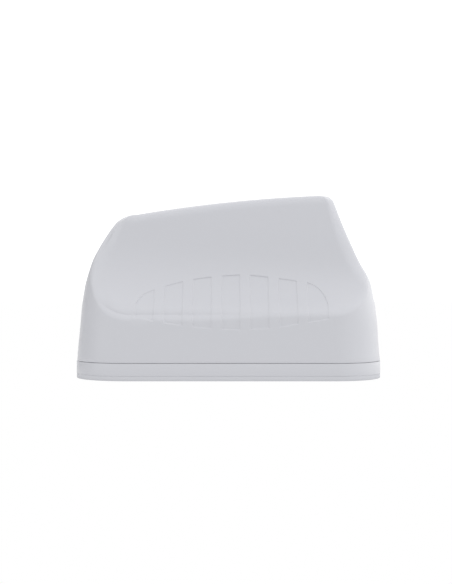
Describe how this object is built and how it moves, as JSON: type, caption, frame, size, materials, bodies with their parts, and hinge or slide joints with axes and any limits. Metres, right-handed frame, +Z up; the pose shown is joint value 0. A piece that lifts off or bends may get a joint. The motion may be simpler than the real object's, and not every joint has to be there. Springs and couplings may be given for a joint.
{
  "type": "vehicle roof antenna",
  "caption": "Low-profile vehicle roof antenna: light grey fin-shaped radome with gill pockets on a flat base with a roof gasket, element boards and a positioning patch inside",
  "frame": {"origin": "centre of the flat underside that lies on the vehicle roof", "axes": "X along the length with the low rounded nose at -X and the tall steep tail at +X, Y across, Z up"},
  "size_m": [0.174, 0.09, 0.1042],
  "materials": {
    "radome": "satin light grey moulded plastic, fine grain",
    "tray": "satin light grey moulded plastic",
    "gasket": "light grey closed-cell foam",
    "rubber": "black rubber",
    "plate": "mill-finish sheet",
    "hub": "nickel-plated, turned",
    "clip": "natural nylon",
    "board": "green solder resist",
    "copper": "bare copper foil",
    "brass": "gold-flashed brass",
    "ceramic": "fired ceramic",
    "tin": "tinned metal",
    "screw": "zinc-plated"
  },
  "bodies": {
    "root": {"radome": "radome", "base_tray": "tray", "roof_gasket": "gasket", "radome_seal": "rubber", "ground_plane": "plate", "cable_hub": "hub", "hub_washer": "rubber", "hub_nut": "hub", "cable_grommet": "rubber", "vent_plug": "rubber", "front_board": "board", "rear_board": "board", "front_element": "copper", "rear_element": "copper", "feed_connector_front": "brass", "feed_connector_rear": "brass", "board_clip_1": "clip", "board_clip_2": "clip", "board_clip_3": "clip", "board_clip_4": "clip", "wifi_board_left": "board", "wifi_board_right": "board", "wifi_element_left": "copper", "wifi_element_right": "copper", "wifi_foot_left": "clip", "wifi_foot_right": "clip", "gnss_board": "board", "gnss_patch": "ceramic", "gnss_electrode": "tin", "gnss_shield": "tin", "gnss_spacer_1": "brass", "gnss_spacer_2": "brass", "gnss_spacer_3": "brass", "gnss_spacer_4": "brass", "radome_screw_1": "screw", "radome_screw_2": "screw", "radome_screw_3": "screw", "radome_screw_4": "screw", "radome_screw_5": "screw", "radome_screw_6": "screw", "plate_screw_1": "screw", "plate_screw_2": "screw", "plate_screw_3": "screw", "plate_screw_4": "screw", "clip_screw_1": "screw", "clip_screw_2": "screw", "clip_screw_3": "screw", "clip_screw_4": "screw"}
  },
  "joints": []
}
